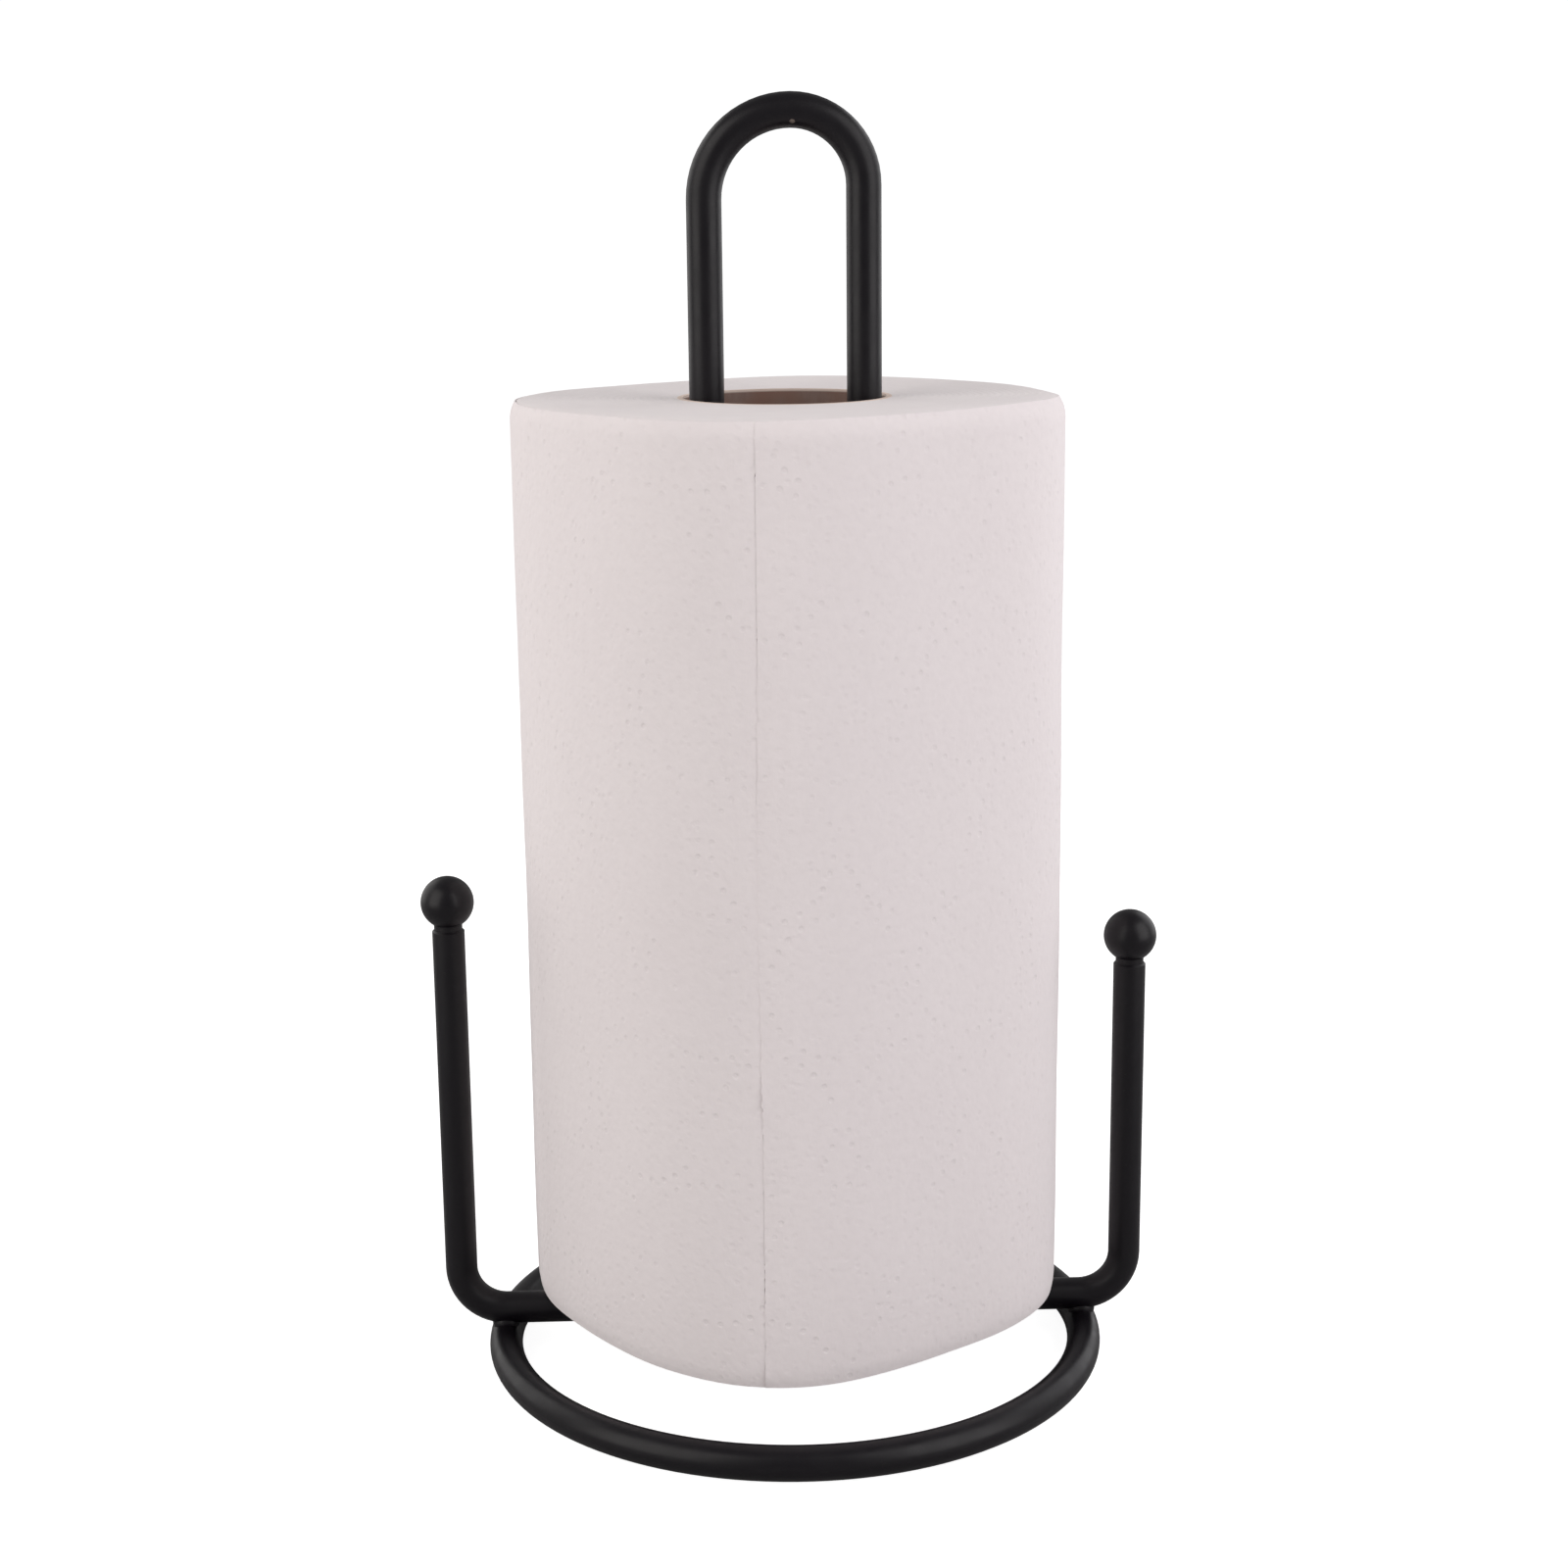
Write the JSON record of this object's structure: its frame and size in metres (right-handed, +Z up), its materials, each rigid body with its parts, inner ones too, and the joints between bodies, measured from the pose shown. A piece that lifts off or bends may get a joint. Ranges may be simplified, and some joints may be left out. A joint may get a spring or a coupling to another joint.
{
  "type": "paper towel holder",
  "caption": "Upright paper towel holder bent from round black steel rod: base ring, cross arm with ball-tipped uprights and a tall loop post, holding a lift-off spinning paper roll.",
  "frame": {"origin": "centre of the base ring, on the table", "axes": "+Z up along the post, +X along the cross arm towards the shorter upright, +Y towards the back"},
  "size_m": [0.1756, 0.15, 0.3],
  "materials": {
    "black_coat": "satin",
    "zinc_steel": "satin",
    "core_board": "matte",
    "wound_towel": "matte",
    "towel_sheet": "matte"
  },
  "bodies": {
    "stand": {"base_ring": "black_coat", "cross_arm": "black_coat", "loop_post": "black_coat", "ring_weld_left": "black_coat", "ring_weld_right": "black_coat", "post_screw_left": "zinc_steel", "post_screw_right": "zinc_steel", "washer_left": "zinc_steel", "washer_right": "zinc_steel", "finial_ball_left": "black_coat", "finial_ball_right": "black_coat", "finial_stud_left": "zinc_steel", "finial_stud_right": "zinc_steel"},
    "core": {"core_inner_ply": "core_board"},
    "roll": {"core_outer_ply": "core_board", "paper_winding": "wound_towel", "loose_sheet": "towel_sheet"}
  },
  "joints": [
    {"name": "roll_lift", "type": "slide", "parent": "stand", "child": "core", "axis": [0, 0, 1], "range_m": [0, 0.29]},
    {"name": "roll_spin", "type": "hinge", "parent": "core", "child": "roll", "pos_m": [0, 0.0065, 0.123], "axis": [0, 0, 1], "continuous": true}
  ]
}
